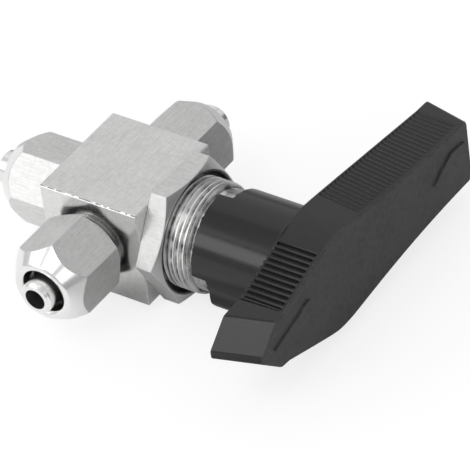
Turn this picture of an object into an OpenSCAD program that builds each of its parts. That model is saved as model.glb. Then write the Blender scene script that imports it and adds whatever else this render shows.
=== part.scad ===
// Three-way ball valve for small hoses. The origin is the centre of the ball.
// X runs along the stem towards the handle, Y through the side ports, Z is up.

/* [Body] */
// Length of the block along the stem
body_l = 20; // [19:0.5:26]
// Width of the block between the side port faces
body_w = 22; // [21:0.5:28]
// Height of the block
body_h = 19.4; // [18:0.2:26]
// Distance from the ball centre to the rear face
body_back = 9.2; // [9:0.2:11]
// Chamfer along the block's edges
body_edge = 0.25; // [0.1:0.05:0.6]

/* [Neck] */
// Crest diameter of the panel thread
neck_d = 19.7; // [19:0.1:22]
// Pitch of the panel thread
neck_pitch = 1; // [0.75:0.25:1.5]
// Depth of the panel thread
neck_thread_depth = 0.5; // [0.3:0.05:0.7]
// Length of the threaded neck in front of the block
neck_l = 8.5; // [7:0.5:14]
// Chamfer at the front end of the thread
neck_chamfer = 0.4; // [0.1:0.05:0.5]
// Diameter of the plain collar in front of the thread
collar_d = 18.2; // [17.6:0.1:18.6]
// Length of the plain collar
collar_l = 3.6; // [3.2:0.1:6]
// Chamfer at the collar's end
collar_chamfer = 0.3; // [0.1:0.05:0.6]

/* [Handle stop] */
// Angle that the handle turns between ports A and B
handle_travel = 180; // [90:15:240]
// Arc of the fixed stop lug on the collar
stop_arc = 88; // [40:2:100]
// Height of the stop lug
stop_h = 1.4; // [0.8:0.1:2]
// Radial width of the stop lug
stop_w = 1.9; // [1:0.1:2.2]

/* [Panel nut] */
// Width across flats of the panel nut
panel_nut_af = 22.7; // [22:0.1:27]
// Thickness of the panel nut
panel_nut_t = 4.1; // [3:0.1:6]
// Axial length of the corner chamfer
panel_nut_chamfer = 1; // [0.4:0.1:1.4]
// Diameter of the flat land inside the chamfer
panel_nut_land = 22.2; // [21.2:0.1:22.5]
// Depth of the countersink round the thread
panel_nut_sink = 0.6; // [0.2:0.1:1]
// Angle at which the panel nut is left
panel_nut_turn = -2; // [-30:1:30]

/* [Ball and stem] */
// Diameter of the ball
ball_d = 11; // [10.4:0.1:11.4]
// Diameter of the flow passage
flow_d = 3.9; // [2.5:0.1:4.4]
// Diameter of the stem
stem_d = 7; // [6:0.1:7.6]
// Diameter of the thrust shoulder at the stem's root
shoulder_d = 10; // [9:0.1:10.6]
// Distance from the ball centre to the face of the shoulder
shoulder_x = 6.4; // [5.8:0.1:7]
// Length of the shoulder
shoulder_l = 1.6; // [1:0.1:1.8]
// Chamfer at the stem's end
stem_chamfer = 0.5; // [0.2:0.1:1]
// Depth of the flat on the stem's end
stem_flat = 0.8; // [0.4:0.1:1.4]
// Length of the stem beyond the hub's floor
stem_grip_l = 12; // [9:0.5:13]

/* [Seats] */
// Outer diameter of the seat rings
seat_d = 7.8; // [7:0.1:7.9]
// Thickness of a seat ring behind the ball's crown
seat_back_t = 1.1; // [0.9:0.1:1.6]

/* [Stem packing] */
// Outer diameter of the packing chamber
chamber_d = 11.6; // [11.4:0.1:11.8]
// Thickness of the thrust washer
thrust_t = 0.8; // [0.5:0.1:1.2]
// Thickness of one packing ring
packing_t = 1; // [0.8:0.1:1.2]
// Number of packing rings
packing_count = 3; // [1:1:3]
// Height of the ridge on a packing ring
packing_rise = 0.35; // [0.1:0.05:0.6]
// Thickness of the gland follower
follower_t = 1; // [0.8:0.1:1.5]
// Thickness of one disc spring
disc_t = 0.35; // [0.2:0.05:0.4]
// Cone height of one disc spring
disc_rise = 0.3; // [0.1:0.05:0.4]
// Diameter of the gland nut
gland_d = 12.6; // [12.2:0.1:13.2]
// Length of the gland nut
gland_l = 5; // [3:0.5:6]
// Chamfer at both ends of the gland nut
gland_chamfer = 0.5; // [0.2:0.1:1]
// Width of the spanner slots in the gland nut
gland_slot = 2; // [1.2:0.1:2.4]

/* [Port fittings] */
// Crest diameter of the fitting's thread
fitting_d = 11.8; // [11.6:0.1:12]
// Depth of the fitting's thread
fitting_thread_depth = 0.45; // [0.3:0.05:0.5]
// Pitch of the fitting's thread
fitting_pitch = 1; // [0.75:0.25:1.25]
// Length of the fitting's thread outside the block
fitting_thread_l = 7; // [6:0.5:7.5]
// Length of the cone between the thread and the spigot
fitting_cone_l = 1.2; // [0.6:0.1:1.6]
// Outer diameter of the hose spigot
spigot_d = 6.1; // [5.6:0.1:6.2]
// Length from the block's face to the spigot's end
spigot_l = 16.2; // [15:0.2:18]
// Chamfer at the spigot's end
spigot_chamfer = 0.4; // [0.1:0.05:0.6]
// Diameter of the O-ring's section
o_ring_d = 1; // [0.8:0.1:1.1]
// Distance from the block's face to the O-ring's centre
o_ring_in = 1.2; // [1:0.1:1.4]

/* [Cap nuts] */
// Width across flats of a cap nut
cap_af = 14; // [13.6:0.1:15]
// Length of a cap nut
cap_l = 13.1; // [12.6:0.1:14]
// Diameter of the flat land on the hexagon's back
cap_land = 13.7; // [13:0.1:14]
// Length of the hexagon up to the start of the nose cone
cap_hex_l = 9.4; // [8.8:0.1:9.8]
// Radius lost by the nose cone for each millimetre of length
cap_slope = 0.733; // [0.65:0.01:0.76]
// Diameter of the nose bore, for the outside of the hose
hose_d = 8.1; // [8:0.1:8.2]
// Length of the nose bore
hose_bore_l = 4.6; // [3.6:0.1:5]
// Gap behind cap nut A, which is one turn slack
cap_gap_a = 1.15; // [0.1:0.05:1.3]
// Gap behind cap nuts B and C
cap_gap_bc = 0.15; // [0.1:0.05:1.2]
// Angle at which cap nut A is left
cap_turn_a = 24; // [0:1:59]
// Angle at which cap nut B is left
cap_turn_b = 13; // [0:1:59]
// Angle at which cap nut C is left
cap_turn_c = 39; // [0:1:59]

/* [Handle hub] */
// Outer diameter of the hub
hub_d = 19.8; // [19.6:0.1:21]
// Distance from the hub's open end to the bar
hub_l = 12; // [11:0.5:16]
// Length of the hub that overlaps the collar outside the skirt tab
hub_overlap = 0.2; // [0.1:0.1:0.6]
// Length of the skirt tab
tab_l = 2.7; // [1:0.1:2.9]
// Angle at which the skirt tab starts
tab_from = 88; // [60:1:110]
// Angle at which the skirt tab ends
tab_to = 182; // [150:1:220]
// Distance from the axis to the flat on the hub's side
hub_flat = 9.3; // [9.2:0.1:9.8]
// Diameter over the corner of the hub's side pad
hub_pad_d = 21.8; // [20.4:0.1:23]
// Angle at which the side pad starts
hub_pad_from = 160; // [150:1:175]
// Angle at which the side pad ends
hub_pad_to = 255; // [225:1:265]

/* [Handle bar] */
// Thickness of the bar along the stem
bar_t = 8.9; // [7:0.1:11]
// Half-width of the bar over the hub
bar_mid_w = 9.5; // [9:0.1:11]
// Half-width of the bar at its blunt end
bar_end_w = 6.2; // [5:0.1:7]
// Length from the axis to the blunt end
bar_long = 40.3; // [34:0.5:50]
// Length from the axis to the pointed end at the outer face
bar_short = 23.4; // [21:0.2:28]
// Distance along the bar over which it keeps its full width
bar_mid_y = 2.2; // [1:0.1:3]
// Half-width of the bar at its waist, behind the point
waist_w = 5.2; // [4.8:0.1:6]
// Distance from the axis to the waist
waist_y = 15.8; // [15:0.1:17]
// Half-width of the bar where the point starts
point_w = 4.9; // [4.4:0.1:5.2]
// Half-width of the blunted tip
tip_w = 0.9; // [0.5:0.1:2]
// Length of the point
point_l = 4.8; // [3.5:0.1:6]
// Angle by which the point leans towards the inner face
point_rake = 16; // [0:1:20]
// Radius of the blunt end's corners
bar_corner = 1.6; // [0.5:0.1:3]
// Sag of the hollow curve along the long side
bar_sag = 0.85; // [0.3:0.05:1.2]
// Angle by which the long sides spread towards the inner face
side_draft = 8; // [0:0.5:10]
// Angle by which the blunt end leans outwards at the inner face
end_rake = 12; // [0:1:15]
// Angle by which the bar hangs below the line through the side ports
bar_hang = 1.4; // [0:0.2:3]
// Depth by which the hub runs into the bar
hub_root = 1; // [0.5:0.1:3]

/* [Grip ribs] */
// Pitch of the coarse grooves near the point
near_pitch = 1.1; // [0.9:0.02:1.1]
// Width of a coarse groove
near_groove = 0.55; // [0.3:0.05:0.7]
// Number of coarse grooves
near_count = 11; // [4:1:11]
// Depth of the coarse grooves
near_depth = 0.45; // [0.2:0.05:0.8]
// Distance from the axis to the first coarse groove
near_start = 4.9; // [4:0.1:5]
// Pitch of the fine grooves on the long side
far_pitch = 1.5; // [1.2:0.05:2]
// Width of a fine groove
far_groove = 0.6; // [0.3:0.05:0.9]
// Number of fine grooves
far_count = 21; // [5:1:21]
// Depth of the fine grooves
far_depth = 0.3; // [0.1:0.05:0.6]
// Distance from the axis to the first fine groove
far_start = 8.6; // [7:0.1:9]
// Smooth margin beside the grooves at the outer face
rib_margin = 0.9; // [0.4:0.1:2]

/* [Arrow marks] */
// Height of the arrow marks on the outer face
mark_height = 0.4; // [0.2:0.05:0.8]
// Half-width of the arrow marks
mark_w = 3; // [2:0.1:4]
// Distance from the axis to the near mark's base
near_mark_base = 9.4; // [8:0.1:11]
// Distance from the axis to the near mark's tip
near_mark_tip = 20.3; // [16:0.1:21]
// Distance from the axis to the far mark's tip
far_mark_tip = 28.6; // [24:0.1:32]
// Distance from the axis to the far mark's base
far_mark_base = 38.4; // [34:0.1:39]
// Share of the far mark's length over which it widens
far_mark_taper = 0.57; // [0.3:0.01:0.9]

/* [Handle fastening] */
// Outer diameter of the metal insert
insert_d = 10.4; // [10:0.1:12]
// Thickness of the insert's closed end
insert_floor = 0.6; // [0.4:0.1:1]
// Diameter of the set screw
screw_d = 4; // [3:0.5:5]
// Distance from the stem's end back to the set screw
screw_back = 6.5; // [5:0.5:7]
// Depth of the set screw's end below the hub's surface
screw_sink = 1; // [0.2:0.1:2]
// Width across flats of the set screw's socket
screw_key = 2; // [1.5:0.5:2.5]

/* [Clearances] */
// Radial gap of a running fit
fit_gap = 0.06; // [0.03:0.01:0.1]
// Gap between pieces that turn past each other
turn_gap = 0.3; // [0.2:0.05:0.4]
// Gap between the ball and its seats
ball_gap = 0.1; // [0.05:0.01:0.2]
// Gap between still pieces that fit together
still_gap = 0.04; // [0.02:0.01:0.08]

/* [Hidden] */
$fn = 96;
cut = 0.5;
thread_flat = 0.1;
stop_play = 1;
body_front = body_l - body_back;
neck_end = body_front + neck_l;
collar_end = neck_end + collar_l;
ball_r = ball_d / 2;
seat_back = ball_r + seat_back_t;
thrust_x = shoulder_x + still_gap;
packing_x = thrust_x + thrust_t;
follower_x = packing_x + packing_count * packing_t;
disc_x = follower_x + follower_t;
disc_stack = 2 * (disc_t + disc_rise);
gland_x = disc_x + disc_stack;
hub_open = collar_end - hub_overlap;
hub_floor = collar_end + stop_h + turn_gap;
bar_in = hub_open + hub_l;
bar_out = bar_in + bar_t;
stem_end = hub_floor + stem_grip_l;
insert_end = stem_end + turn_gap + insert_floor;
screw_x = stem_end - screw_back;
stop_r = collar_d / 2 - still_gap;
boss_arc = 360 - handle_travel - stop_arc;
port_face_side = body_w / 2;
spigot_r = spigot_d / 2;
cap_corner_r = cap_af / sqrt(3);
cap_cone_apex = cap_corner_r + cap_slope * cap_hex_l;
cap_cone_norm = norm([1, cap_slope]);
cap_lip_r = (cap_cone_apex - hose_d / 2 - cap_slope * cap_l) / (cap_cone_norm + 1 - cap_slope);
cap_lip_steps = 8;
long_y = bar_long - bar_mid_y;
side_drop = bar_mid_w - bar_end_w;
side_chord = norm([long_y, side_drop]);
side_r = pow(side_chord, 2) / (8 * bar_sag) + bar_sag / 2;
side_angle = atan2(side_drop, long_y);
side_mid = [(bar_mid_y + bar_long) / 2, (bar_mid_w + bar_end_w) / 2];
side_centre = side_mid + (side_r - bar_sag) * [sin(side_angle), cos(side_angle)];

// Solid of revolution about X: points are [distance along X, radius]
module turned_x(points) {
    rotate([0, 90, 0])
        rotate_extrude()
            polygon([for (p = points) [p[1], p[0]]]);
}

// Outline in Y and Z, extruded from x0 to x1
module along_x(x0, x1) {
    translate([x0, 0, 0])
        rotate([90, 0, 90])
            linear_extrude(x1 - x0)
                children();
}

// Child drawn along +Z is turned to point out of side port A, side port B or rear port C
module at_port_a() {
    rotate([90, 0, 0]) children();
}
module at_port_b() {
    rotate([-90, 0, 0]) children();
}
module at_port_c() {
    rotate([0, -90, 0]) children();
}

// Zigzag radius profile of a thread from z0 to z1, as [radius, z] points
function thread_points(r, depth, pitch, z0, z1) =
    let (turns = floor((z1 - z0) / pitch))
    [for (i = [0:turns - 1], k = [0:3])
        let (z = z0 + i * pitch)
        k == 0 ? [r - depth, z + pitch * thread_flat / 2] :
        k == 1 ? [r, z + pitch * (0.5 - thread_flat)] :
        k == 2 ? [r, z + pitch * (0.5 + thread_flat)] :
        [r - depth, z + pitch * (1 - thread_flat / 2)]];

// Sector of a ring between two angles
module ring_sector(r_in, r_out, from, to) {
    reach = 2 * r_out;
    steps = ceil((to - from) / 45);
    intersection() {
        difference() {
            circle(r_out);
            circle(r_in);
        }
        polygon(concat([[0, 0]], [for (i = [0:steps])
            let (a = from + (to - from) * i / steps) [reach * cos(a), reach * sin(a)]]));
    }
}

// Rectangle with its four corners cut at 45 degrees
module chamfered_rect(x0, x1, y0, y1, c) {
    polygon([[x0 + c, y0], [x1 - c, y0], [x1, y0 + c], [x1, y1 - c],
        [x1 - c, y1], [x0 + c, y1], [x0, y1 - c], [x0, y0 + c]]);
}

// Block with all its edges chamfered
module block() {
    intersection() {
        translate([0, 0, -body_h / 2])
            linear_extrude(body_h)
                chamfered_rect(-body_back, body_front, -body_w / 2, body_w / 2, body_edge);
        along_x(-body_back, body_front)
            chamfered_rect(-body_w / 2, body_w / 2, -body_h / 2, body_h / 2, body_edge);
        translate([0, body_w / 2, 0])
            rotate([90, 0, 0])
                linear_extrude(body_w)
                    chamfered_rect(-body_back, body_front, -body_h / 2, body_h / 2, body_edge);
    }
}

// Threaded neck with its plain collar
module neck() {
    r = neck_d / 2;
    root = r - neck_thread_depth;
    thread = thread_points(r, neck_thread_depth, neck_pitch, body_front, neck_end - neck_pitch / 2);
    turned_x(concat([[body_front - cut, 0], [body_front - cut, root]],
        [for (p = thread) [p[1], p[0]]],
        [[neck_end - neck_chamfer, root], [neck_end - neck_chamfer, root + neck_chamfer],
         [neck_end, root], [neck_end, collar_d / 2], [collar_end - collar_chamfer, collar_d / 2],
         [collar_end, collar_d / 2 - collar_chamfer], [collar_end, 0]]));
}

// Bore for one port: pocket for the seat and a wider bore for the fitting
module port_bore(face) {
    cylinder(d = seat_d + 2 * still_gap, h = face);
    translate([0, 0, seat_back])
        cylinder(d = fitting_d + 2 * still_gap, h = face - seat_back + cut);
}

module body() {
    color("silver")
    difference() {
        union() {
            block();
            neck();
            along_x(collar_end - cut, collar_end + stop_h)
                ring_sector(stop_r - stop_w, stop_r, -stop_arc / 2, stop_arc / 2);
        }
        turned_x([[-ball_r - turn_gap, 0], [-ball_r - turn_gap, chamber_d / 2],
            [gland_x - turn_gap, chamber_d / 2], [gland_x - turn_gap, gland_d / 2 + still_gap],
            [collar_end + cut, gland_d / 2 + still_gap], [collar_end + cut, 0]]);
        at_port_a() port_bore(port_face_side);
        at_port_b() port_bore(port_face_side);
        at_port_c() port_bore(body_back);
    }
}

module panel_nut() {
    corner = panel_nut_af / sqrt(3);
    back = body_front;
    front = back + panel_nut_t;
    hole = neck_d / 2 + fit_gap;
    land_r = panel_nut_land / 2;
    slope = (corner - land_r) / panel_nut_chamfer;
    color("gainsboro")
    difference() {
        intersection() {
            along_x(back, front)
                rotate(panel_nut_turn) circle(corner, $fn = 6);
            turned_x([[back, 0], [back, land_r + slope * panel_nut_t], [front, land_r],
                [front, 0]]);
        }
        turned_x([[back - cut, 0], [back - cut, hole], [front - panel_nut_sink, hole],
            [front, hole + panel_nut_sink], [front + cut, hole + panel_nut_sink], [front + cut, 0]]);
    }
}

// Ball with its stem; the passage turns from the rear port to side port A
module ball_stem() {
    stem_r = stem_d / 2;
    color("lightgray")
    difference() {
        union() {
            sphere(ball_r);
            turned_x([[0, 0], [0, stem_r], [seat_d / 2 + turn_gap, stem_r],
                [shoulder_x - shoulder_l, shoulder_d / 2], [shoulder_x, shoulder_d / 2],
                [shoulder_x, stem_r], [stem_end - stem_chamfer, stem_r],
                [stem_end, stem_r - stem_chamfer], [stem_end, 0]]);
        }
        at_port_a() cylinder(d = flow_d, h = ball_d);
        at_port_c() cylinder(d = flow_d, h = ball_d);
        sphere(flow_d / 2);
        translate([hub_floor, stem_r - stem_flat, -stem_d])
            cube([stem_grip_l + cut, stem_d, 2 * stem_d]);
    }
}

// Seat ring with a face that follows the ball
module seat_ring() {
    color("white")
    difference() {
        cylinder(d = seat_d, h = seat_back - still_gap);
        translate([0, 0, -cut]) cylinder(d = flow_d, h = seat_back + 2 * cut);
        sphere(ball_r + ball_gap);
    }
}
module seat_a() {
    at_port_a() seat_ring();
}
module seat_b() {
    at_port_b() seat_ring();
}
module seat_c() {
    at_port_c() seat_ring();
}

// Plain ring round the stem inside the packing chamber
module stem_ring(x, t) {
    inner = stem_d / 2 + fit_gap;
    outer = chamber_d / 2 - still_gap;
    turned_x([[x, inner], [x, outer], [x + t, outer], [x + t, inner]]);
}

module thrust_washer() {
    color("white") stem_ring(thrust_x, thrust_t);
}

// Chevron rings, each nested in the one behind it
module packing_rings() {
    inner = stem_d / 2 + fit_gap;
    outer = chamber_d / 2 - still_gap;
    middle = (inner + outer) / 2;
    color("whitesmoke")
    for (i = [0:packing_count - 1]) {
        x = packing_x + i * packing_t;
        back_rise = i == 0 ? 0 : packing_rise;
        front_rise = i == packing_count - 1 ? 0 : packing_rise;
        turned_x([[x, inner], [x + back_rise, middle], [x, outer],
            [x + packing_t - still_gap, outer], [x + packing_t - still_gap + front_rise, middle],
            [x + packing_t - still_gap, inner]]);
    }
}

module gland_follower() {
    color("darkgray") stem_ring(follower_x, follower_t - still_gap);
}

// Two disc springs, set face to face
module disc_springs() {
    inner = stem_d / 2 + fit_gap;
    outer = chamber_d / 2 - 2 * still_gap;
    middle = disc_x + disc_stack / 2;
    color("dimgray") {
        turned_x([[disc_x, inner], [disc_x + disc_t, inner], [middle, outer],
            [middle - disc_t, outer]]);
        mirror_at(middle + still_gap)
            turned_x([[disc_x + 2 * still_gap, inner], [disc_x + 2 * still_gap + disc_t, inner],
                [middle, outer], [middle - disc_t, outer]]);
    }
}

// Child mirrored in the plane at x
module mirror_at(x) {
    translate([2 * x, 0, 0])
        mirror([1, 0, 0])
            children();
}

module gland_nut() {
    back = gland_x + 2 * still_gap;
    front = gland_x + gland_l;
    r = gland_d / 2;
    hole = stem_d / 2 + fit_gap;
    edge_r = r - gland_chamfer;
    color("darkgray")
    difference() {
        turned_x([[back, hole], [back, edge_r], [back + gland_chamfer, r],
            [front - gland_chamfer, r], [front, edge_r], [front, hole]]);
        for (a = [0, 90])
            rotate([a, 0, 0])
                translate([front - gland_slot / 2, -gland_d, -gland_slot / 2])
                    cube([gland_slot, 2 * gland_d, gland_slot]);
    }
}

// Fitting that screws into a port, holds the seat and carries the hose spigot
module fitting(face) {
    r = fitting_d / 2;
    root = r - fitting_thread_depth;
    thread_start = face + fitting_pitch / 4;
    thread_end = face + fitting_thread_l;
    end = face + spigot_l;
    o_ring_z = face - o_ring_in;
    groove_r = r - o_ring_d;
    color("lightgray")
    difference() {
        rotate_extrude()
            polygon(concat([[0, seat_back], [r, seat_back], [r, o_ring_z - o_ring_d / 2 - still_gap],
                [groove_r, o_ring_z - o_ring_d / 2 - still_gap],
                [groove_r, o_ring_z + o_ring_d / 2 + still_gap],
                [r, o_ring_z + o_ring_d / 2 + still_gap], [r, face]],
                thread_points(r, fitting_thread_depth, fitting_pitch, thread_start, thread_end),
                [[root, thread_end], [spigot_r, thread_end + fitting_cone_l],
                 [spigot_r, end - spigot_chamfer], [spigot_r - spigot_chamfer, end], [0, end]]));
        translate([0, 0, seat_back - cut])
            cylinder(d = flow_d, h = end - seat_back + 2 * cut);
    }
}
module fitting_a() {
    at_port_a() fitting(port_face_side);
}
module fitting_b() {
    at_port_b() fitting(port_face_side);
}
module fitting_c() {
    at_port_c() fitting(body_back);
}

// O-ring in the fitting's groove
module o_ring(face) {
    section_r = o_ring_d / 2 - still_gap / 2;
    color("#202020")
    translate([0, 0, face - o_ring_in])
        rotate_extrude()
            translate([fitting_d / 2 - o_ring_d / 2, 0])
                circle(section_r, $fn = 32);
}
module o_ring_a() {
    at_port_a() o_ring(port_face_side);
}
module o_ring_b() {
    at_port_b() o_ring(port_face_side);
}
module o_ring_c() {
    at_port_c() o_ring(body_back);
}

// Hexagonal cap nut with a conical nose and a full round lip that runs into the cone and the bore
module cap_nut(face, gap, turn) {
    hose_r = hose_d / 2;
    bore_r = fitting_d / 2 + fit_gap;
    blank_r = cap_corner_r + cut;
    back_rise = (blank_r - cap_land / 2) * tan(30);
    cone_start = cap_hex_l - cut / cap_slope;
    neck_z = cap_l - hose_bore_l;
    lip_from = atan(cap_slope);
    color("silver")
    translate([0, 0, face + gap])
        intersection() {
            rotate(turn) cylinder(r = cap_corner_r, h = cap_l, $fn = 6);
            rotate_extrude()
                polygon(concat([[bore_r, 0], [cap_land / 2, 0], [blank_r, back_rise],
                    [blank_r, cone_start]],
                    [for (i = [0:cap_lip_steps])
                        let (a = lip_from + (180 - lip_from) * i / cap_lip_steps)
                        [hose_r + cap_lip_r * (1 + cos(a)), cap_l - cap_lip_r * (1 - sin(a))]],
                    [[hose_r, neck_z], [bore_r, neck_z - (bore_r - hose_r)]]));
        }
}
module cap_nut_a() {
    at_port_a() cap_nut(port_face_side, cap_gap_a, cap_turn_a);
}
module cap_nut_b() {
    at_port_b() cap_nut(port_face_side, cap_gap_bc, cap_turn_b);
}
module cap_nut_c() {
    at_port_c() cap_nut(body_back, cap_gap_bc, cap_turn_c);
}

// Half-width of the bar's pointed side and of its long side, at a distance y from the axis
function short_side(y) =
    waist_w + (bar_mid_w - waist_w) * (waist_y - y) / (waist_y - bar_mid_y);
function long_side(y) = side_centre[1] - sqrt(pow(side_r, 2) - pow(y - side_centre[0], 2));

// Outline of the bar in Y and Z: the waist and the short sides, run on past the middle
module bar_outline() {
    reach = bar_short + bar_t;
    crest = short_side(-waist_y);
    polygon([[-reach, waist_w], [-waist_y, waist_w], [waist_y, crest], [2 * reach, crest],
        [2 * reach, -crest], [waist_y, -crest], [-waist_y, -waist_w], [-reach, -waist_w]]);
}

// Prism that spreads towards the inner face and cuts one long side
module side_prism() {
    reach = 2 * bar_long;
    translate([bar_out, 0, bar_mid_w])
        rotate([0, side_draft, 0])
            along_x(-reach, reach)
                translate([0, -bar_mid_w])
                    difference() {
                        polygon([[-reach, -reach], [-reach, bar_mid_w], [bar_mid_y, bar_mid_w],
                            [bar_long, bar_end_w], [reach, bar_end_w], [reach, -reach]]);
                        translate(side_centre) circle(side_r, $fn = 720);
                    }
}

// Prism that leans outwards and cuts the blunt end
module end_prism() {
    reach = 2 * bar_long;
    translate([bar_out, 0, 0])
        rotate([0, 0, -end_rake])
            along_x(-reach, reach)
                translate([-reach, -reach])
                    square([reach + bar_long * cos(end_rake), 2 * reach]);
}

// Cutter that rounds one corner of the blunt end
module end_corner() {
    translate([bar_out, bar_long, bar_end_w])
        rotate([0, side_draft, -end_rake])
            along_x(-2 * bar_t, bar_t)
                translate([-bar_corner, -bar_corner])
                    difference() {
                        square(2 * bar_corner);
                        circle(bar_corner);
                    }
}

// Prism that leans towards the inner face and cuts the bar to its point
module point_prism() {
    reach = 2 * bar_long;
    lean = cos(point_rake);
    translate([bar_out, 0, 0])
        rotate([0, 0, point_rake])
            along_x(-reach, reach)
                polygon([[reach, reach], [(reach - bar_short) * lean, reach],
                    [-(bar_short - point_l) * lean, point_w], [-bar_short * lean, tip_w],
                    [-bar_short * lean, -tip_w], [-(bar_short - point_l) * lean, -point_w],
                    [(reach - bar_short) * lean, -reach], [reach, -reach]]);
}

// One groove across the bar's side, at y, cut to a depth below the half-width w;
// it leans with the side and runs from from_face to to_face behind the outer face
module groove(y, w, depth, width, lean, from_face, to_face) {
    for (side = [0, 1])
        mirror([0, 0, side])
            translate([bar_out, y - width / 2, w])
                rotate([0, lean, 0])
                    translate([-to_face, 0, -depth])
                        cube([to_face - from_face, width, depth + 4 * cut]);
}

// Raised arrows that point towards side port A
module arrow_marks() {
    far_mark_crest = far_mark_tip + far_mark_taper * (far_mark_base - far_mark_tip);
    along_x(bar_out - cut, bar_out + mark_height) {
        polygon([[-near_mark_tip, 0], [-near_mark_base, mark_w], [-near_mark_base, -mark_w]]);
        polygon([[far_mark_tip, 0], [far_mark_crest, mark_w], [far_mark_base, mark_w],
            [far_mark_base, -mark_w], [far_mark_crest, -mark_w]]);
    }
}

// Outline of the hub: round, with a flat-sided pad below its side
module hub_outline() {
    circle(d = hub_d);
    intersection() {
        ring_sector(0, hub_pad_d / 2, hub_pad_from, hub_pad_to);
        translate([-hub_flat, -hub_pad_d]) square([hub_pad_d, 2 * hub_pad_d]);
    }
}

// The bar with its ribs and marks
module bar() {
    rotate([-bar_hang, 0, 0]) {
        arrow_marks();
        difference() {
            intersection() {
                along_x(bar_in, bar_out) bar_outline();
                point_prism();
                side_prism();
                mirror([0, 0, 1]) side_prism();
                end_prism();
            }
            end_corner();
            mirror([0, 0, 1]) end_corner();
            for (i = [0:near_count - 1])
                let (y = near_start + i * near_pitch)
                    groove(-y, short_side(y), near_depth, near_groove, 0, rib_margin,
                        bar_t + cut);
            for (i = [0:far_count - 1])
                let (y = far_start + i * far_pitch)
                    groove(y, long_side(y), far_depth, far_groove, side_draft, rib_margin,
                        bar_t - rib_margin);
        }
    }
}

module handle() {
    skirt_r = collar_d / 2 + turn_gap / 2;
    color("#303030")
    difference() {
        union() {
            along_x(hub_open, bar_in + hub_root) hub_outline();
            along_x(hub_open - tab_l, hub_open + cut)
                intersection() {
                    hub_outline();
                    ring_sector(0, hub_pad_d, tab_from, tab_to);
                }
            bar();
        }
        difference() {
            turned_x([[hub_open - tab_l - cut, 0], [hub_open - tab_l - cut, skirt_r],
                [hub_floor, skirt_r], [hub_floor, 0]]);
            along_x(collar_end + turn_gap, hub_floor + cut)
                ring_sector(stop_r - stop_w, skirt_r + cut, stop_arc / 2 + stop_play,
                    stop_arc / 2 + boss_arc - stop_play);
        }
        turned_x([[hub_floor - cut, 0], [hub_floor - cut, insert_d / 2 + still_gap],
            [insert_end + still_gap, insert_d / 2 + still_gap], [insert_end + still_gap, 0]]);
        translate([screw_x, 0, 0])
            rotate([-90, 0, 0])
                cylinder(d = screw_d + 2 * still_gap, h = hub_d);
    }
}

// Metal insert with the stem's bore and its flat
module handle_insert() {
    r = stem_d / 2 + still_gap;
    color("goldenrod")
    difference() {
        turned_x([[hub_floor + turn_gap, 0], [hub_floor + turn_gap, insert_d / 2],
            [insert_end, insert_d / 2], [insert_end, 0]]);
        difference() {
            turned_x([[hub_floor, 0], [hub_floor, r], [stem_end + turn_gap, r],
                [stem_end + turn_gap, 0]]);
            translate([hub_floor - cut, stem_d / 2 - stem_flat + still_gap, -stem_d])
                cube([stem_grip_l + 2 * cut, stem_d, 2 * stem_d]);
        }
        translate([screw_x, 0, 0])
            rotate([-90, 0, 0])
                cylinder(d = screw_d + 2 * still_gap, h = hub_d);
    }
}

// Set screw, driven in from side port B's side and bearing on the stem's flat
module handle_screw() {
    seat_y = stem_d / 2 - stem_flat + still_gap;
    head_y = hub_d / 2 - screw_sink;
    color("#505050")
    translate([screw_x, 0, 0])
        rotate([-90, 0, 0])
            difference() {
                translate([0, 0, seat_y]) cylinder(d = screw_d, h = head_y - seat_y);
                translate([0, 0, head_y - screw_key])
                    cylinder(r = screw_key / sqrt(3), h = screw_key + cut, $fn = 6);
            }
}

body();
panel_nut();
ball_stem();
seat_a();
seat_b();
seat_c();
thrust_washer();
packing_rings();
gland_follower();
disc_springs();
gland_nut();
fitting_a();
fitting_b();
fitting_c();
o_ring_a();
o_ring_b();
o_ring_c();
cap_nut_a();
cap_nut_b();
cap_nut_c();
handle();
handle_insert();
handle_screw();
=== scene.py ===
"""Detailed pieces, finishes and stage for a three-way ball valve, built on its packed frame."""

import math

import bmesh
import bpy
from bpy.props import FloatProperty, FloatVectorProperty, IntProperty, PointerProperty
from bpy.types import Operator, Panel, PropertyGroup
from mathutils import Matrix, Vector, noise


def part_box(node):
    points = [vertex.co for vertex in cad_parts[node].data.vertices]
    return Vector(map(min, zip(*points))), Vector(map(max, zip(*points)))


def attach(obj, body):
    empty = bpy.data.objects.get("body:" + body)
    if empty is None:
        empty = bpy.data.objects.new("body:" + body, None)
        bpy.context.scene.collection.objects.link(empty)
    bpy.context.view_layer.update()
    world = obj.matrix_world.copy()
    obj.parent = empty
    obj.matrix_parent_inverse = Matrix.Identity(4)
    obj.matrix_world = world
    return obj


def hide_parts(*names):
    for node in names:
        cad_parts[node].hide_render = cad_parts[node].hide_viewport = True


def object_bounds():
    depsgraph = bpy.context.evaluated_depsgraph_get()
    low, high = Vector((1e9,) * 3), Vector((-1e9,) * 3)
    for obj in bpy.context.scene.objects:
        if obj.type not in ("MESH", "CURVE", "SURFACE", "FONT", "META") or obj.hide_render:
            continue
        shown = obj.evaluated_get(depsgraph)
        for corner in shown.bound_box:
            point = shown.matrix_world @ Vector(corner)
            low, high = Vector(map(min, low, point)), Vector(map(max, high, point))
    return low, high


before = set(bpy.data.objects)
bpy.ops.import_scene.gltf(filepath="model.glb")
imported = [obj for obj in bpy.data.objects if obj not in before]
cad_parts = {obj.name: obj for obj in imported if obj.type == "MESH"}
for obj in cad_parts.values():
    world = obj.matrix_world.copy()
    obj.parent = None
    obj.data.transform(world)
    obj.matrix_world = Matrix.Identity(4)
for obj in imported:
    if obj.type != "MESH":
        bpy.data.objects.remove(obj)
CAD_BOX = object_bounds()

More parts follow.
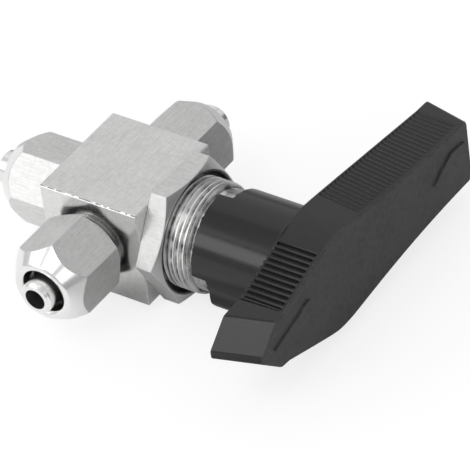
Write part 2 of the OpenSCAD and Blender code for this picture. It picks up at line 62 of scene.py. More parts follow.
bl_info = {
    "name": "Three-way ball valve",
    "version": (1, 0, 0),
    "blender": (4, 5, 0),
    "location": "3D View > Sidebar > Valve",
    "description": "Models the nuts and the handle of a ball valve and finishes every piece",
    "category": "Object",
}

MM = 0.001
WELD = 0.0005 * MM  # points nearer than this are merged
AXIS_X, AXIS_Y, AXIS_Z = (Vector(axis) for axis in ((1, 0, 0), (0, 1, 0), (0, 0, 1)))
QUARTER_TURN = math.radians(90)
SHARP_ANGLE = math.radians(30)
TURN_STEPS = 120
CLEARANCE = 0.04 * MM  # round the insert and the screw in the handle
OVERLAP = 0.2 * MM  # of solids that are joined
WHITE = (1.0, 1.0, 1.0)


# Sizes and colours

def length(name, description, millimetres):
    """A length property, given in millimetres and kept in metres."""
    return FloatProperty(
        name=name, description=description, default=millimetres * MM,
        min=0.0, soft_max=0.2, precision=5, subtype="DISTANCE", unit="LENGTH",
    )


def angle(name, description, degrees):
    """An angle property, given in degrees and kept in radians."""
    return FloatProperty(
        name=name, description=description, default=math.radians(degrees),
        subtype="ANGLE", unit="ROTATION",
    )


def share(name, description, value, highest=1.0):
    """A plain factor."""
    return FloatProperty(name=name, description=description, default=value, min=0.0, max=highest)


def count(name, description, value, least):
    """A whole number."""
    return IntProperty(name=name, description=description, default=value, min=least)


def colour(name, description, value):
    """A colour, given as one grey level or as red, green and blue."""
    levels = (value,) * 3 if isinstance(value, float) else value
    return FloatVectorProperty(
        name=name, description=description, default=levels, subtype="COLOR", min=0.0, max=1.0,
    )


class CapNutSizes(PropertyGroup):
    """Sizes of the three cap nuts"""
    across_flats: length("Across flats", "Width across the flats", 14.0)
    total: length("Length", "Length of a cap nut", 13.1)
    hexagon: length("Hexagon length", "Length of the ridges up to the nose cone", 9.4)
    slope: share("Nose slope", "Radius lost by the nose cone for each unit of length", 0.733)
    land: length("Back land", "Diameter of the flat land on the back", 13.7)
    bore: length("Thread bore", "Diameter of the bore over the fitting's thread", 11.92)
    hose: length("Hose bore", "Diameter of the bore round the hose", 8.1)
    hose_depth: length("Hose bore length", "Length of the bore round the hose", 4.6)
    edge: length("Edge round", "Rounding of the ridges and edges", 0.09)
    turn_a: angle("Turn A", "Angle at which cap nut A is left", 24)
    turn_b: angle("Turn B", "Angle at which cap nut B is left", 13)
    turn_c: angle("Turn C", "Angle at which cap nut C is left", 39)


class PanelNutSizes(PropertyGroup):
    """Sizes of the thin nut on the neck"""
    across_flats: length("Across flats", "Width across the flats", 22.7)
    chamfer: length("Chamfer", "Axial length of the corner chamfer", 1.0)
    land: length("Front land", "Diameter of the flat land inside the chamfer", 22.2)
    hole: length("Hole", "Diameter of the threaded hole", 19.82)
    sink: length("Countersink", "Width of the countersink round the thread", 0.85)
    sink_depth: length("Countersink depth", "Depth of the countersink round the thread", 1.5)
    edge: length("Edge round", "Rounding of the ridges and edges", 0.1)
    turn: angle("Turn", "Angle at which the nut is left", -2)


class BarSizes(PropertyGroup):
    """Sizes of the handle's bar"""
    long_end: length("Long side", "Distance from the axis to the blunt end", 40.3)
    short_end: length("Short side", "Distance from the axis to the point at the outer face", 23.4)
    thickness: length("Thickness", "Thickness of the bar along the stem", 8.9)
    middle_width: length("Middle half-width", "Half-width of the bar over the hub", 9.65)
    middle_reach: length("Middle reach", "Distance along the bar at full width", 2.2)
    end_width: length("End half-width", "Half-width of the bar at the blunt end", 6.45)
    end_rake: angle("End rake", "Angle by which the blunt end leans out to the inner face", 12)
    end_corner: length("End corner", "Radius of the blunt end's corners", 1.2)
    sag: length("Side sag", "Sag of the hollow long sides", 0.85)
    waist_width: length("Waist half-width", "Half-width of the bar behind the point", 5.35)
    waist_reach: length("Waist distance", "Distance from the axis to the waist", 15.8)
    point_width: length("Point half-width", "Half-width of the bar where the point starts", 4.9)
    point_length: length("Point length", "Length of the point", 4.8)
    point_rake: angle("Point rake", "Angle by which the point leans to the inner face", 16)
    tip_width: length("Tip half-width", "Half-width of the blunted tip", 0.7)
    tip_round: length("Tip round", "Radius of the blunted tip's corners", 0.7)
    shoulder_round: length("Point shoulder", "Radius of the corners where the point starts", 1.2)
    blend: length("Side blend", "Softness of the bend between the bar's sides and its middle", 0.55)
    foot_width: length("Inner half-width", "Half-width of the inner face over the hub", 10.6)
    foot_end: length("Inner end half-width", "Half-width of the inner face at the blunt end", 6.5)
    foot_blend: length("Inner blend", "Softness of the bend of the inner face's sides", 0.9)
    hang: angle("Hang", "Angle by which the long arm hangs below the straight line", 1.4)
    lift: angle("Lift", "Angle by which the pointed arm rises over the straight line", 0.5)
    outer_round: length("Outer edge round", "Rounding of the edge round the outer face", 0.35)
    inner_round: length("Inner edge round", "Rounding of the edge round the inner face", 0.25)


class RibSizes(PropertyGroup):
    """Sizes of the grip ribs and of the arrow marks"""
    near_start: length("Near start", "Distance from the axis to the first coarse groove", 4.9)
    near_pitch: length("Near pitch", "Pitch of the coarse grooves", 1.1)
    near_count: count("Near count", "Number of coarse grooves", 11, 1)
    near_depth: length("Near depth", "Depth of the coarse grooves", 0.6)
    near_narrow: share("Near narrowness", "The coarse grooves are narrower when it is higher", 1.4, 8.0)
    far_start: length("Far start", "Distance from the axis to the first fine groove", 8.2)
    far_pitch: length("Far pitch", "Pitch of the fine grooves", 1.1)
    far_count: count("Far count", "Number of fine grooves", 28, 1)
    far_depth: length("Far depth", "Depth of the fine grooves", 0.3)
    far_narrow: share("Far narrowness", "The fine grooves are narrower when it is higher", 1.5, 8.0)
    margin: length("Margin", "Smooth margin beside the grooves at the outer face", 0.9)
    rim: length("Rim", "Smooth rim beside the fine grooves at the inner face", 0.5)
    run_out: length("Run-out", "Length over which a groove fades into the margin", 0.3)
    samples: count("Samples", "Points along one rib's pitch", 10, 4)
    mark_height: length("Mark height", "Height of the raised arrow marks", 0.4)


class HubSizes(PropertyGroup):
    """Sizes of the handle's hub"""
    outer: length("Diameter", "Outer diameter of the hub", 19.8)
    open_end: length("Open end", "Distance from the ball to the hub's open end", 22.7)
    floor: length("Floor", "Distance from the ball to the floor of the hub's skirt", 24.6)
    skirt: length("Skirt bore", "Diameter of the bore over the collar", 18.5)
    tab: length("Tab", "Length of the skirt tab beyond the open end", 2.7)
    tab_from: angle("Tab start", "Angle at which the skirt tab starts", 88)
    tab_to: angle("Tab end", "Angle at which the skirt tab ends", 182)
    flat: length("Flat", "Distance from the axis to the flat on the side pad", 9.3)
    pad: length("Pad", "Diameter over the corner of the side pad", 21.8)
    pad_from: angle("Pad start", "Angle at which the side pad starts", 160)
    pad_to: angle("Pad end", "Angle at which the side pad ends", 255)
    lip: length("Lip round", "Rounding of the open end", 0.2)
    flash: length("Flash", "Unevenness of the moulded rim", 0.25)
    boss_from: angle("Boss start", "Angle at which the stop boss starts", 45)
    boss_to: angle("Boss end", "Angle at which the stop boss ends", 135)
    boss_radius: length("Boss radius", "Radius at which the stop boss ends inwards", 7.16)
    boss_gap: length("Boss gap", "Distance from the hub's floor to the boss's end", 1.4)


class Palette(PropertyGroup):
    """Colours of the materials"""
    steel: colour("Steel", "Bare stainless steel", (0.86, 0.86, 0.855))
    steel_dull: colour("Dull steel", "Steel where it is stained or matt", (0.64, 0.64, 0.635))
    flat: colour("Flats", "The drawn flats of the nuts", (0.79, 0.79, 0.785))
    flat_dull: colour("Dull flats", "Hairlines on the drawn flats", (0.60, 0.60, 0.595))
    # Dark steel, both painted shade on the panel nut's front face and the dark nicks worn along the
    # block's top edges
    steel_shade_and_nicks: colour("Dark steel", "Steel left matt by the saw", 0.14)
    # Painted reflection: the panel nut's front face is made dark to stand for the dark handle and hub
    # it reflects
    steel_painted_dark: colour("Sawn steel", "The matt face of the panel nut", (0.27, 0.27, 0.265))
    # Real dirt in the roots of the thread, and painted shade behind the cap nuts and in the panel nut's
    # countersink
    grime_and_painted_shade: colour("Thread grime", "Dirt in the roots of the thread", 0.10)
    plastic: colour("Plastic", "Black moulded plastic", (0.006, 0.006, 0.0063))
    plastic_pale: colour("Grained plastic", "Plastic on the grained outer face", (0.070, 0.070, 0.071))
    ptfe: colour("Seat plastic", "White sealing plastic", (0.78, 0.78, 0.76))
    rubber: colour("Rubber", "Black sealing rubber", 0.018)
    brass: colour("Brass", "Turned brass", (0.72, 0.52, 0.24))
    black_oxide: colour("Black oxide", "Blackened steel", (0.06, 0.06, 0.062))
    floor: colour("Floor", "Pale studio floor, as it lights the object", 0.60)
    floor_seen: colour("Floor in view", "The part of the floor's white that shadows can darken", 0.28)
    bounce_front: colour("Front bounce", "Glow of the front left of the floor, as metal shows it", 0.60)
    bounce_back: colour("Back bounce", "Glow of the rest of the floor, as metal shows it", 0.08)


class StudioSettings(PropertyGroup):
    """Camera and lamps"""
    azimuth: angle("Azimuth", "Direction of the camera round the upright axis", 38.933)
    elevation: angle("Elevation", "Height of the camera over the horizon", 38.838)
    roll: angle("Roll", "Tilt of the picture", -8.035)
    distance: length("Distance", "Distance from the camera to the plane through the ball", 914.9)
    aim_right: length("Aim to the right", "Place of the picture's centre, right of the ball", 17.70)
    aim_down: length("Aim below", "Place of the picture's centre, below the ball", 4.51)
    port_axis: length("Port axis", "Offset of the ball from the middle of the block's view", 0.766)
    lamp_distance: length("Lamp distance", "Distance from the ball to each lamp", 900.0)
    lens: FloatProperty(name="Lens", description="Focal length for a sensor of 36 mm", default=412.2)
    key_strength: share("Key lamp", "Brightness of the small soft box at the front left", 1.95, 20.0)
    side_strength: share("Side lamp", "Brightness of the soft box at the left", 0.8, 20.0)
    rear_strength: share("Rear lamp", "Brightness of the large soft box at the rear left", 0.32, 20.0)
    back_strength: share("Back lamp", "Brightness of the soft box at the rear right", 0.42, 20.0)
    right_strength: share("Right lamp", "Brightness of the soft box at the front right", 0.85, 20.0)
    top_strength: share("Top lamp", "Brightness of the soft box overhead", 2.2, 20.0)
    room_bright: share("Bright side", "Brightness of the room at the front left", 0.75, 4.0)
    room_dark: share("Dark side", "Brightness of the room at the rear right", 0.12, 4.0)
    floor_glow: share("Floor glow", "Brightness added to the floor for the camera", 0.78, 4.0)


SETTINGS = {
    "cap_nut": CapNutSizes,
    "panel_nut": PanelNutSizes,
    "bar": BarSizes,
    "rib": RibSizes,
    "hub": HubSizes,
    "palette": Palette,
    "studio": StudioSettings,
}


def settings(name):
    """One group of sizes or colours of the scene."""
    return getattr(bpy.context.scene, "valve_" + name)


# Shader maths

class Field:
    """A number that varies over a surface. Arithmetic on it adds Math nodes."""

    def __init__(self, nodes, socket):
        self.nodes = nodes
        self.socket = socket

    def __add__(self, other):
        return self.nodes.math("ADD", self, other)

    __radd__ = __add__

    def __sub__(self, other):
        return self.nodes.math("SUBTRACT", self, other)

    def __rsub__(self, other):
        return self.nodes.math("SUBTRACT", other, self)

    def __mul__(self, other):
        return self.nodes.math("MULTIPLY", self, other)

    __rmul__ = __mul__

    def __pow__(self, other):
        return self.nodes.math("POWER", self, other)

    def __abs__(self):
        return self.nodes.math("ABSOLUTE", self)

    def above(self, edge, soft):
        """0 below the edge and 1 above it, over a soft step."""
        ramp = self.nodes.node(
            "ShaderNodeMapRange", {"interpolation_type": "SMOOTHSTEP"},
            {"Value": self, "From Min": edge - soft / 2, "From Max": edge + soft / 2},
        )
        return Field(self.nodes, ramp.outputs["Result"])


class Nodes:
    """The nodes of a material or of the world, and the patterns they make."""

    def __init__(self, owner, output, coordinate):
        owner.use_nodes = True
        self.tree = owner.node_tree
        self.tree.nodes.clear()
        self.output = self.tree.nodes.new(output)
        self.place = self.node("ShaderNodeTexCoord").outputs[coordinate]

    def node(self, kind, setup=None, inputs=None):
        """A node of a kind, with its settings and the values or links of its sockets."""
        made = self.tree.nodes.new(kind)
        for key, value in (setup or {}).items():
            setattr(made, key, value)
        for key, value in (inputs or {}).items():
            socket = made.inputs[key]
            if isinstance(value, Field):
                self.tree.links.new(value.socket, socket)
            elif isinstance(value, bpy.types.NodeSocket):
                self.tree.links.new(value, socket)
            elif socket.type == "RGBA":
                socket.default_value = (*value, 1)
            else:
                socket.default_value = value
        return made

    def end(self, shader):
        """Ends the nodes in a shader."""
        self.tree.links.new(shader.outputs[0], self.output.inputs[0])

    def math(self, operation, *values):
        """One Math node."""
        made = self.node("ShaderNodeMath", {"operation": operation}, dict(enumerate(values)))
        return Field(self, made.outputs[0])

    def axes(self):
        """The place on the piece as three fields, in metres."""
        parts = self.node("ShaderNodeSeparateXYZ", None, {0: self.place}).outputs
        return [Field(self, parts[name]) for name in "XYZ"]

    def radius(self, first, second):
        """Distance from an axis, from the two coordinates across it."""
        return (first * first + second * second) ** 0.5

    def stretched(self, scale, turn=(0, 0, 0)):
        """The place on the piece, turned and stretched for a pattern; scale is in repeats per metre."""
        return self.node(
            "ShaderNodeMapping", {"vector_type": "TEXTURE"},
            {"Vector": self.place, "Rotation": turn, "Scale": [1 / value for value in scale]},
        ).outputs[0]

    def noise(self, vector, detail, rough):
        """One Noise Texture node."""
        made = self.node(
            "ShaderNodeTexNoise", None,
            {"Vector": vector, "Scale": 1.0, "Detail": detail, "Roughness": rough},
        )
        return Field(self, made.outputs["Fac"])

    def speckle(self, fineness, detail=3.0, rough=0.6):
        """Noise that is as fine in every direction, in repeats per metre."""
        return self.noise(self.stretched((fineness,) * 3), detail, rough)

    def rings(self, along, reach, fineness):
        """Noise in fine rings, from the place along an axis and the distance from it."""
        place = self.node("ShaderNodeCombineXYZ", None, {0: along * fineness, 1: reach * fineness})
        return self.noise(place.outputs[0], 3.0, 0.6)

    def rays(self, *kinds):
        """1 for rays of these kinds and 0 for others."""
        path = self.node("ShaderNodeLightPath").outputs
        return sum(Field(self, path[f"Is {kind} Ray"]) for kind in kinds)

    def levels(self, value, *stops):
        """A field bent by a ramp between two (position, level) stops."""
        ramp = self.node("ShaderNodeValToRGB", None, {0: value})
        for element, (position, level) in zip(ramp.color_ramp.elements, stops):
            element.position = position
            element.color = (level, level, level, 1)
        return Field(self, ramp.outputs[0])

    def mix(self, factor, first, second):
        """A colour between two colours."""
        made = self.node("ShaderNodeMix", {"data_type": "RGBA"}, {0: factor, 6: first, 7: second})
        return made.outputs[2]

    def bump(self, height, depth, normal=None):
        """A normal from a height field; depth is in metres."""
        inputs = {"Height": height, "Distance": depth, "Strength": 1.0}
        if normal is not None:
            inputs["Normal"] = normal
        return self.node("ShaderNodeBump", None, inputs).outputs[0]


class Finish(Nodes):
    """One procedural material."""

    def __init__(self, name):
        self.material = bpy.data.materials.new(name)
        super().__init__(self.material, "ShaderNodeOutputMaterial", "Object")

    def surface(self, **sockets):
        """Ends the material in one Principled surface."""
        names = {
            key.replace("_", " ").title().replace("Ior", "IOR"): value
            for key, value in sockets.items()
        }
        self.end(self.node("ShaderNodeBsdfPrincipled", None, names))
        return self.material


# Finishes

# Repeats of the fine patterns per metre
HAIRLINE = 9000.0
GRAIN = 1400.0
CLOUD = 130.0

HAIRLINE_STRETCH = 0.03
TURNED_RELIEF = 0.0015 * MM
SOFT_EDGE = 0.02 * MM


def steel(finish, fine, roughness, relief, dull, bright):
    """The sockets of steel with a fine pattern, such as hairlines or rings."""
    grain = finish.speckle(GRAIN)
    cloud = finish.speckle(CLOUD, 2.0, 0.5)
    stain = finish.levels(0.5 * fine + 0.3 * grain + 0.2 * cloud, (0.36, 0.0), (0.60, 1.0))
    return {
        "base_color": finish.mix(stain, dull, bright),
        "metallic": 1.0,
        "roughness": roughness + 0.10 * (fine - 0.5) + 0.10 * (cloud - 0.5),
        "normal": finish.bump(0.7 * fine + 0.3 * grain, relief),
    }


def hairlines(finish, axis, turn=(0, 0, 0)):
    """Noise drawn out into hairlines along one axis."""
    scale = [HAIRLINE * (HAIRLINE_STRETCH if index == axis else 1) for index in range(3)]
    return finish.noise(finish.stretched(scale, turn), 3.0, 0.6)


def drawn_steel(name, axis):
    """Bar stock with hairlines along one axis."""
    palette = settings("palette")
    finish = Finish(name)
    lines = hairlines(finish, axis)
    return finish.surface(**steel(finish, lines, 0.48, 0.006 * MM, palette.flat_dull, palette.flat))


def turned_steel(name, axis, roughness, back=0.0):
    """Steel turned on a lathe, with fine rings round an axis; nearer the ball than back it gets painted
    shade, the dark gap where the nut meets the block.
    """
    palette = settings("palette")
    finish = Finish(name)
    parts = finish.axes()
    reach = finish.radius(*(parts[index] for index in range(3) if index != axis))
    dull = [0.8 * high + 0.2 * low for high, low in zip(palette.steel, palette.steel_dull)]
    rings = finish.rings(parts[axis], reach, HAIRLINE)
    face = steel(finish, rings, roughness, TURNED_RELIEF, dull, palette.steel)
    if back:
        # Painted shade: the nut is darkened near its back, where it meets the block
        back_shade = 1.0 - abs(parts[axis]).above(back, 0.3 * MM)
        face["base_color"] = finish.mix(back_shade, face["base_color"], palette.grime_and_painted_shade)
    return finish.surface(**face)


def painted_shade_panel_face():
    """The panel nut's turned faces, matt; the front one has a painted dark tone that stands for the
    dark handle and hub it reflects, and painted shade in the countersink round the thread.
    """
    palette, sizes = settings("palette"), settings("panel_nut")
    finish = Finish("panel_nut_face")
    x, y, z = finish.axes()
    reach = finish.radius(y, z)
    rings = finish.rings(x, reach, HAIRLINE)
    # Painted reflection: the front face is given a dark tone for the dark handle and hub it reflects
    face = steel(finish, rings, 0.34, TURNED_RELIEF, palette.steel_shade_and_nicks, palette.steel_painted_dark)
    ahead = x.above(block_front() + 0.3 * MM, 0.1 * MM)
    # Painted shade: the countersink round the thread is darkened
    sink_shade = ahead * (1.0 - reach.above(sizes.hole / 2 + sizes.sink - 0.05 * MM, 0.06 * MM))
    chamfer = reach.above(sizes.land / 2 - 0.03 * MM, 0.04 * MM)
    bright = finish.math("MAXIMUM", chamfer, 1.0 - ahead)
    tone = finish.mix(bright, face["base_color"], palette.steel)
    face["base_color"] = finish.mix(sink_shade, tone, palette.grime_and_painted_shade)
    return finish.surface(**face)


def valve_block_steel():
    """The block's milled faces, nicked along the top edges, and the dirty thread on its neck."""
    palette = settings("palette")
    finish = Finish("milled_block")
    x, y, z = finish.axes()
    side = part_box("body")[1].y
    top_edge = 9.55 * MM
    milled = steel(
        finish, hairlines(finish, 1), 0.36, 0.005 * MM, palette.flat_dull, palette.flat)
    slant = hairlines(finish, 0, (0, math.radians(-45), 0))
    port_a_face = (0.0 - y).above(side - 0.05 * MM, SOFT_EDGE)
    nick = finish.speckle(1500.0, 2.0)
    edge = abs(y).above(side - 0.24 * MM, 0.05 * MM) * z.above(top_edge, 0.1 * MM)
    worn = edge * finish.levels(nick, (0.48, 1.0), (0.60, 0.0))
    rings = finish.noise(finish.stretched((5200.0, 220.0, 220.0)), 3.0, 0.65)
    blotch = finish.speckle(520.0, 3.0, 0.55)
    depth = settings("panel_nut").hole / 2 - finish.radius(y, z)
    grime = depth.above(0.30 * MM, 0.2 * MM) * finish.levels(blotch, (0.35, 0.85), (0.62, 0.15))
    smear = finish.levels(0.3 * blotch + 0.7 * rings, (0.38, 0.45), (0.48, 0.0))
    dirt = finish.math("MAXIMUM", grime, smear)
    thread_tone = finish.mix(dirt, palette.steel, palette.grime_and_painted_shade)
    block_tone = finish.mix(worn, milled["base_color"], palette.steel_shade_and_nicks)
    neck = x.above(block_front() + 0.02 * MM, SOFT_EDGE)
    block_rough = milled["roughness"] - 0.16 * port_a_face
    height = 0.4 * port_a_face * slant + 0.6 * rings * neck
    return finish.surface(
        base_color=finish.mix(neck, block_tone, thread_tone),
        metallic=1.0,
        roughness=block_rough * (1.0 - neck) + neck * (0.20 + 0.24 * blotch),
        normal=finish.bump(height, 0.02 * MM, milled["normal"]),
    )


def handle_plastic():
    """Black moulded plastic: grained on the outer face, smoother on the sides and the hub."""
    palette = settings("palette")
    finish = Finish("black_plastic")
    x = finish.axes()[0]
    bar = x.above(bar_inner(), 0.4 * MM)
    face = x.above(bar_outer() - 0.3 * MM, 0.4 * MM)
    grain = finish.speckle(5200.0, 2.0, 0.55)
    mottle = finish.speckle(900.0)
    cloud = finish.speckle(90.0, 2.0, 0.5)
    rub = finish.levels(0.5 * mottle + 0.3 * cloud + 0.2 * grain, (0.40, 0.0), (0.68, 1.0))
    pale = face * (0.55 + 0.70 * rub) + 0.06 * rub + 0.05 * bar
    coarse = 0.15 + 0.6 * bar + 0.25 * face
    return finish.surface(
        base_color=finish.mix(pale, palette.plastic, palette.plastic_pale),
        roughness=0.17 + bar * 0.12 + face * 0.17 + 0.08 * (mottle - 0.5),
        normal=finish.bump(coarse * (0.65 * grain + 0.35 * mottle), 0.04 * MM),
    )


def soft_finish(name, tone, roughness, size, relief, pale):
    """Plastic or rubber with a fine mottle, whose lighter spots are paler by a factor."""
    finish = Finish(name)
    mottle = finish.speckle(size)
    pale_tone = [min(1.0, level * pale) for level in tone]
    return finish.surface(
        base_color=finish.mix(finish.levels(mottle, (0.35, 0.0), (0.7, 1.0)), tone, pale_tone),
        roughness=roughness + 0.1 * (mottle - 0.5),
        normal=finish.bump(mottle, relief),
    )


def turned_metal(name, tone, dull, roughness):
    """A coloured metal turned round the stem's axis, whose duller rings are darker by a factor."""
    finish = Finish(name)
    x, y, z = finish.axes()
    fine = finish.rings(x, finish.radius(y, z), HAIRLINE / 2)
    cloud = finish.speckle(300.0, 2.0, 0.5)
    shade = finish.levels(0.6 * fine + 0.4 * cloud, (0.38, 0.0), (0.6, 1.0))
    return finish.surface(
        base_color=finish.mix(shade, [level * dull for level in tone], tone),
        metallic=1.0,
        roughness=roughness + 0.12 * (cloud - 0.5),
        normal=finish.bump(fine, 0.004 * MM),
    )


def dress(material, *nodes):
    """Gives a finish to nodes that are carried over from the frame."""
    for node in nodes:
        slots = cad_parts[node].data.materials
        slots.clear()
        slots.append(material)


# Modelling

def block_front():
    """Distance from the ball to the block's front face, where the panel nut sits."""
    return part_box("panel_nut")[0].x


def bar_inner():
    """Distance from the ball to the inner face of the handle's bar."""
    return bar_outer() - settings("bar").thickness


def bar_outer():
    """Distance from the ball to the outer face of the handle's bar, under the raised marks."""
    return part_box("handle")[1].x - settings("rib").mark_height


# The upper sides of the two arrow marks, as (y, z) places in millimetres
MARKS = (
    ((-20.3, 0.0), (-15.3, 1.45), (-12.1, 2.2), (-11.4, 2.75), (-9.3, 3.0)),
    ((28.7, -0.05), (31.0, 1.45), (34.4, 3.15), (36.5, 3.1), (38.6, 2.8)),
)


def piece(mesh_source, name, *materials):
    """An object at the origin from a bmesh, smooth except along its sharp edges."""
    mesh = bpy.data.meshes.new(name)
    mesh_source.to_mesh(mesh)
    mesh_source.free()
    mesh.shade_smooth()
    mesh.set_sharp_from_angle(angle=SHARP_ANGLE)
    made = bpy.data.objects.new(name, mesh)
    bpy.context.scene.collection.objects.link(made)
    for material in materials:
        mesh.materials.append(material)
    return made


def rounded(made, width):
    """Rounds the sharp edges of a piece and keeps its flats flat."""
    edge = made.modifiers.new("edges", "BEVEL")
    edge.limit_method = "ANGLE"
    edge.angle_limit = SHARP_ANGLE
    edge.width = width
    edge.segments = 2
    edge.use_clamp_overlap = False
    edge.harden_normals = False
    weigh(made)


def weigh(made):
    """Lets large faces set the shading of their edges."""
    shading = made.modifiers.new("shading", "WEIGHTED_NORMAL")
    shading.keep_sharp = True
    shading.weight = 80


def loop(points):
    """Pairs of neighbours round a closed row of points."""
    return zip([points[-1], *points[:-1]], points)


def outlined(solid, places):
    """The points and the edges of a closed outline, added to a solid."""
    points = [solid.verts.new(place) for place in places]
    return points, [solid.edges.new(pair) for pair in loop(points)]


def turned(profile, start=0.0):
    """A solid turned from a closed profile of (radius, height) points round the upright axis."""
    solid = bmesh.new()
    rotation = Matrix.Rotation(start, 4, "Z")
    points, sides = outlined(
        solid, [rotation @ Vector((radius, 0, height)) for radius, height in profile])
    bmesh.ops.spin(
        solid, geom=points + sides, cent=(0, 0, 0), axis=(0, 0, 1), angle=math.tau,
        steps=TURN_STEPS, use_merge=True, use_duplicate=False,
    )
    bmesh.ops.remove_doubles(solid, verts=solid.verts, dist=WELD)
    bmesh.ops.recalc_face_normals(solid, faces=solid.faces)
    return solid


def cut_flats(solid, across, turn, material):
    """Cuts six flats round the upright axis and gives them a material's index."""
    for side in range(6):
        normal = Matrix.Rotation(turn + math.radians(30 + 60 * side), 3, "Z") @ AXIS_X
        cut = bmesh.ops.bisect_plane(
            solid, geom=solid.verts[:] + solid.edges[:] + solid.faces[:], dist=WELD,
            plane_co=normal * across / 2, plane_no=normal, clear_outer=True,
        )
        border = [part for part in cut["geom_cut"] if isinstance(part, bmesh.types.BMEdge)]
        for flat in bmesh.ops.edgeloop_fill(solid, edges=border)["faces"]:
            flat.material_index = material
    bmesh.ops.remove_doubles(solid, verts=solid.verts, dist=WELD)
    bmesh.ops.recalc_face_normals(solid, faces=solid.faces)


def stand(solid, node, rotation):
    """Turns a solid to its port and sets its base where the node's base is."""
    outwards = rotation @ AXIS_Z
    base = min(abs(corner.dot(outwards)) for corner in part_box(node))
    bmesh.ops.transform(
        solid, matrix=Matrix.Translation(outwards * base) @ rotation, verts=solid.verts)


def cap_nut_profile(sizes):
    """Section of a cap nut: back, blank, nose cone, full round lip and bores."""
    corner = sizes.across_flats / math.sqrt(3)
    blank = corner + 0.5 * MM
    bore, hose, land = sizes.bore / 2, sizes.hose / 2, sizes.land / 2
    apex = corner + sizes.slope * sizes.hexagon
    lip = (apex - hose - sizes.slope * sizes.total) / (math.hypot(1, sizes.slope) + 1 - sizes.slope)
    lip_from = math.atan(sizes.slope)
    lip_steps = 12
    seat = sizes.total - sizes.hose_depth
    profile = [(bore, 0), (land, 0), (blank, (blank - land) * math.tan(math.radians(30)))]
    profile.append((blank, sizes.hexagon - (blank - corner) / sizes.slope))
    for step in range(lip_steps + 1):
        bend = lip_from + (math.pi - lip_from) * step / lip_steps
        radius = hose + lip * (1 + math.cos(bend))
        profile.append((radius, sizes.total - lip * (1 - math.sin(bend))))
    profile += [(hose, seat), (bore, seat - (bore - hose))]
    return profile


# The handle

def soft_lower(first, second, softness):
    """The smaller of two numbers, with the corner between them rounded."""
    return (first + second - math.hypot(first - second, softness)) / 2


def bar_half_width(along_bar, sizes, foot):
    """Half-width of the bar between its waist and its blunt end, at its inner or outer face."""
    slope = (sizes.middle_width - sizes.waist_width) / (sizes.waist_reach - sizes.middle_reach)
    near = sizes.waist_width + slope * (along_bar + sizes.waist_reach)
    share_along = (along_bar - sizes.middle_reach) / (sizes.long_end - sizes.middle_reach)
    if foot:
        far = sizes.foot_width + (sizes.foot_end - sizes.foot_width) * share_along
        return soft_lower(near, far, sizes.foot_blend)
    chord = sizes.middle_width - (sizes.middle_width - sizes.end_width) * share_along
    far = chord - 4 * sizes.sag * share_along * (1 - share_along)
    middle = soft_lower(near, sizes.middle_width + sizes.blend / 4, sizes.blend)
    return soft_lower(middle, far, sizes.blend)


def arc_corner(before, corner, after, radius, steps=5):
    """Points of the arc that rounds a corner of an outline."""
    back = (before - corner).normalized()
    ahead = (after - corner).normalized()
    half = back.angle(ahead) / 2
    centre = corner + (back + ahead).normalized() * radius / math.sin(half)
    reach = radius / math.tan(half)
    start = (corner + back * reach) - centre
    end = (corner + ahead * reach) - centre
    sweep = start.angle_signed(end)
    return [centre + Matrix.Rotation(-sweep * step / steps, 2) @ start for step in range(steps + 1)]


def side_stations(sizes, ribs, foot):
    """Points (y, half-width) along one side of the bar's inner or outer face, from tip to blunt end."""
    corner_start = sizes.long_end - 1.05 * sizes.end_corner

    def side(along_bar):
        return Vector((along_bar, bar_half_width(along_bar, sizes, foot)))

    tip = Vector((-sizes.short_end, 0))
    tip_corner = Vector((-sizes.short_end, sizes.tip_width))
    shoulder = Vector((sizes.point_length - sizes.short_end, sizes.point_width))
    waist = side(-sizes.waist_reach)
    points = [tip]
    points += arc_corner(tip, tip_corner, shoulder, sizes.tip_round)
    points += arc_corner(tip_corner, shoulder, waist, sizes.shoulder_round)
    near_end = -ribs.near_start + ribs.near_pitch / 2
    near_begin = -ribs.near_start - (ribs.near_count - 0.5) * ribs.near_pitch
    far_begin = ribs.far_start - ribs.far_pitch / 2
    far_end = ribs.far_start + (ribs.far_count - 0.5) * ribs.far_pitch
    stretches = [
        (near_begin, near_end, ribs.near_count * ribs.samples),
        (near_end, far_begin, 2 * ribs.samples),
        (far_begin, far_end, ribs.far_count * ribs.samples),
    ]
    for begin, end, steps in stretches:
        places = [begin + (end - begin) * step / steps for step in range(steps)]
        points += [side(place) for place in places if place < corner_start]
    end = Vector((sizes.long_end, 0))
    points += arc_corner(side(corner_start), side(sizes.long_end), end, sizes.end_corner, 8)
    points.append(end)
    return points


def groove(along_bar, start, pitch, many, narrow):
    """Depth of a row of rounded grooves at one place, from 0 to 1."""
    place = (along_bar - start) / pitch
    if not -0.5 <= place <= many - 0.5:
        return 0.0
    return (0.5 + 0.5 * math.cos(math.tau * place)) ** narrow


def clamped(value):
    """A number held between 0 and 1."""
    return min(1.0, max(0.0, value))


